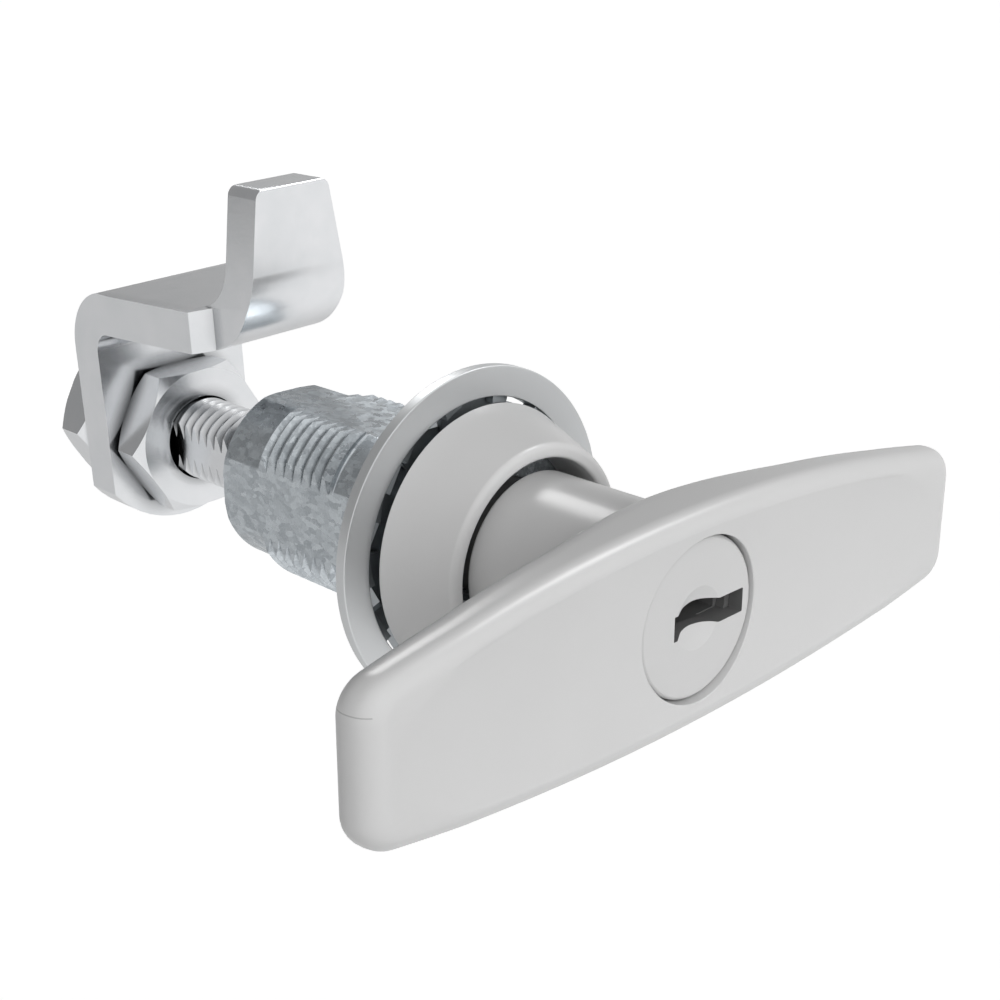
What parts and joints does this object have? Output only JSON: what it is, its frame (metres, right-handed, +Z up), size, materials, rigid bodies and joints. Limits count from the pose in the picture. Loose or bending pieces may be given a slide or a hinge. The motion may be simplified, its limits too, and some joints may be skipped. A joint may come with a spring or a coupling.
{
  "type": "t-handle compression latch",
  "caption": "Key-locking T-handle compression latch: turning the grip turns a bent cam behind the panel and draws it in.",
  "frame": {"origin": "on the latch's axis, in the plane where the bezel seats on the panel", "axes": "+Y along the axis from the handle through the panel to the cam, +X along the grip at rest, +Z up, the way the cam points at rest"},
  "size_m": [0.0834, 0.099, 0.0517],
  "materials": {
    "grey_paint": "light grey satin-gloss powder coat",
    "plug_paint": "light grey satin paint on the lock plug",
    "galvanised_zinc": "mottled galvanised zinc on a die casting",
    "satin_zinc_plate": "satin zinc plate",
    "zinc_plated_steel": "bright zinc-plated steel",
    "spring_steel": "plain drawn steel",
    "wafer_brass": "stamped brass",
    "black_rubber": "black rubber"
  },
  "bodies": {
    "housing": {"bezel": "grey_paint", "barrel": "galvanised_zinc", "panel_gasket": "black_rubber", "panel_nut": "satin_zinc_plate", "rear_clip": "spring_steel"},
    "sleeve": {"guide_sleeve": "spring_steel", "guide_plate": "spring_steel"},
    "handle": {"handle": "grey_paint", "driver": "spring_steel", "driver_screw": "spring_steel", "driver_ring": "spring_steel", "stem_seal": "black_rubber", "plug_keeper_pin": "spring_steel", "return_spring": "spring_steel"},
    "plug": {"lock_plug": "plug_paint", "plug_wafers": "wafer_brass", "plug_tail_disc": "zinc_plated_steel"},
    "bolt": {"lock_bolt": "zinc_plated_steel"},
    "drawbar": {"draw_stud": "zinc_plated_steel", "cross_pin": "spring_steel", "front_nut": "zinc_plated_steel", "cam": "zinc_plated_steel", "lock_washer": "zinc_plated_steel", "rear_nut": "zinc_plated_steel"}
  },
  "joints": [
    {"name": "cam_swing", "type": "hinge", "parent": "housing", "child": "sleeve", "pos_m": [0, 0, 0], "axis": [0, -1, 0], "range_deg": [0, 90]},
    {"name": "handle_draw", "type": "hinge", "parent": "sleeve", "child": "handle", "pos_m": [0, 0, 0], "axis": [0, -1, 0], "range_deg": [0, 90]},
    {"name": "drawbar_slide", "type": "slide", "parent": "sleeve", "child": "drawbar", "axis": [0, 1, 0], "range_m": [0, 0.006], "deforming": ["return_spring"]},
    {"name": "key_turn", "type": "hinge", "parent": "handle", "child": "plug", "pos_m": [0, 0, 0], "axis": [0, 1, 0], "range_deg": [0, 90]},
    {"name": "bolt_slide", "type": "slide", "parent": "handle", "child": "bolt", "axis": [0, 0, -1], "range_m": [0, 0.0022]}
  ],
  "couplings": [
    {"joint": "handle_draw", "follows": "drawbar_slide", "rad_per_m": 261.8},
    {"joint": "bolt_slide", "follows": "key_turn", "m_per_rad": 0.0014005}
  ]
}
